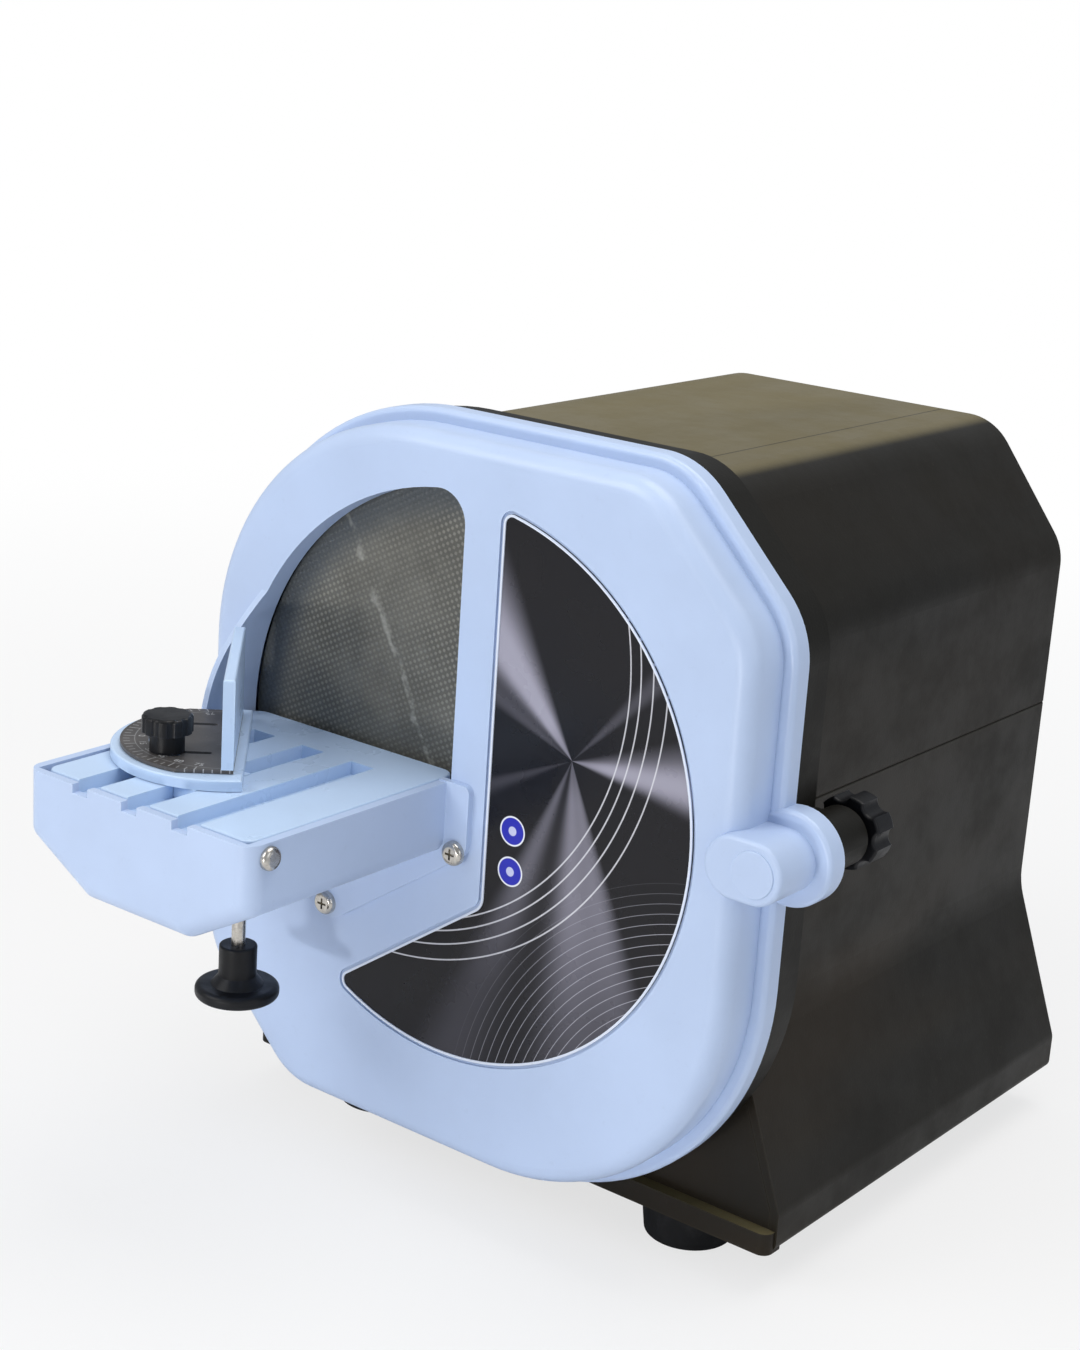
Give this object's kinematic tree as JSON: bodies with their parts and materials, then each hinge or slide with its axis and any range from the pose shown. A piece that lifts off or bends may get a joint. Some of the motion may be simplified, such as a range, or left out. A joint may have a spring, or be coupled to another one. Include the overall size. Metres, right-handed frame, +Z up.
{
  "type": "dental model trimmer",
  "caption": "Wet trimmer for plaster models: motor-driven diamond disc behind a hinged cover with window and label, tilting grooved table and swivelling angle fence.",
  "frame": {"origin": "centre of the bounding box in plan, on the floor under the rubber feet", "axes": "+Z up, the cover and table face -Y, the disc turns about Y"},
  "size_m": [0.337, 0.447, 0.356],
  "materials": {
    "cover_plastic": "semi gloss",
    "housing_plastic": "semi gloss",
    "black_plastic": "satin",
    "dark_plastic": "satin",
    "rubber_black": "matte",
    "steel": "brushed",
    "chrome_screw": "polished",
    "brass_part": "satin",
    "aluminium_part": "cast",
    "diamond_face": "gritty",
    "label_print": "printed",
    "protractor_print": "satin",
    "table_plastic": "semi gloss",
    "copper_stack": "lacquered"
  },
  "bodies": {
    "machine": {"housing_hood": "housing_plastic", "housing_tub": "housing_plastic", "bulkhead": "housing_plastic", "rear_panel": "dark_plastic", "panel_screws": "steel", "rubber_feet": "rubber_black", "foot_screws": "steel", "chamber_pan": "dark_plastic", "pan_screws": "steel", "door_gasket": "rubber_black", "hinge_pins": "steel", "shaft_seal": "rubber_black", "motor_frame": "aluminium_part", "motor_stator": "copper_stack", "motor_bell_front": "aluminium_part", "motor_bell_rear": "aluminium_part", "motor_bearings": "steel", "motor_bolts": "steel", "capacitor": "dark_plastic", "spray_pipe": "steel", "water_valve": "steel", "water_inlet": "brass_part", "drain_spout": "dark_plastic", "power_inlet": "dark_plastic", "switch_body": "dark_plastic"},
    "door": {"front_door": "cover_plastic", "label_panel": "label_print", "latch_cap": "cover_plastic", "table_tray": "cover_plastic", "flange_screws": "chrome_screw", "pivot_screws": "chrome_screw", "tilt_bush": "brass_part"},
    "table": {"table_plate": "table_plastic"},
    "tilt_pad": {"tilt_pad": "aluminium_part"},
    "tilt_knob": {"tilt_screw": "steel", "tilt_knob": "black_plastic"},
    "guide": {"guide_base": "table_plastic", "guide_stud": "steel", "guide_pivot": "brass_part"},
    "fence": {"protractor_plate": "protractor_print", "guide_fence": "table_plastic"},
    "clamp_knob": {"guide_knob": "black_plastic"},
    "latch": {"latch_stud": "steel", "latch_knob": "black_plastic"},
    "spindle": {"diamond_disc": "diamond_face", "disc_backing": "aluminium_part", "disc_screw": "steel", "motor_shaft": "steel", "motor_rotor": "steel", "cooling_fan": "dark_plastic"},
    "rocker": {"switch_rocker": "black_plastic"}
  },
  "joints": [
    {"name": "door_hinge", "type": "hinge", "parent": "machine", "child": "door", "pos_m": [-0.1635, -0.0595, 0.203], "axis": [0, 0, -1], "range_deg": [0, 110]},
    {"name": "disc_spin", "type": "hinge", "parent": "machine", "child": "spindle", "pos_m": [-0.0065, -0.0835, 0.203], "axis": [0, 1, 0], "continuous": true},
    {"name": "latch_turn", "type": "hinge", "parent": "machine", "child": "latch", "pos_m": [0.1485, -0.0355, 0.208], "axis": [0, 1, 0], "continuous": true},
    {"name": "tilt_screw_travel", "type": "slide", "parent": "door", "child": "tilt_pad", "axis": [0, 0, 1], "range_m": [0, 0.00889]},
    {"name": "tilt_knob_turn", "type": "hinge", "parent": "tilt_pad", "child": "tilt_knob", "pos_m": [-0.0715, -0.1615, 0.113], "axis": [0, 0, 1], "range_deg": [0, 2560]},
    {"name": "table_tilt", "type": "hinge", "parent": "door", "child": "table", "pos_m": [-0.0715, -0.2125, 0.198], "axis": [1, 0, 0], "range_deg": [0, 10]},
    {"name": "guide_slide", "type": "slide", "parent": "table", "child": "guide", "axis": [0, 1, 0], "range_m": [-0.019, 0]},
    {"name": "guide_swing", "type": "hinge", "parent": "guide", "child": "fence", "pos_m": [-0.09124, -0.14843, 0.223], "axis": [0, 0, 1], "range_deg": [-4, 48]},
    {"name": "guide_knob_turn", "type": "hinge", "parent": "guide", "child": "clamp_knob", "pos_m": [-0.0987, -0.1795, 0.221], "axis": [0, 0, 1], "continuous": true},
    {"name": "switch_rock", "type": "hinge", "parent": "machine", "child": "rocker", "pos_m": [-0.0765, 0.1955, 0.193], "axis": [1, 0, 0], "range_deg": [-16, 0]}
  ],
  "couplings": [
    {"joint": "tilt_knob_turn", "follows": "tilt_screw_travel", "rad_per_m": 5026.5},
    {"joint": "table_tilt", "follows": "tilt_screw_travel", "rad_per_m": 19.608}
  ]
}
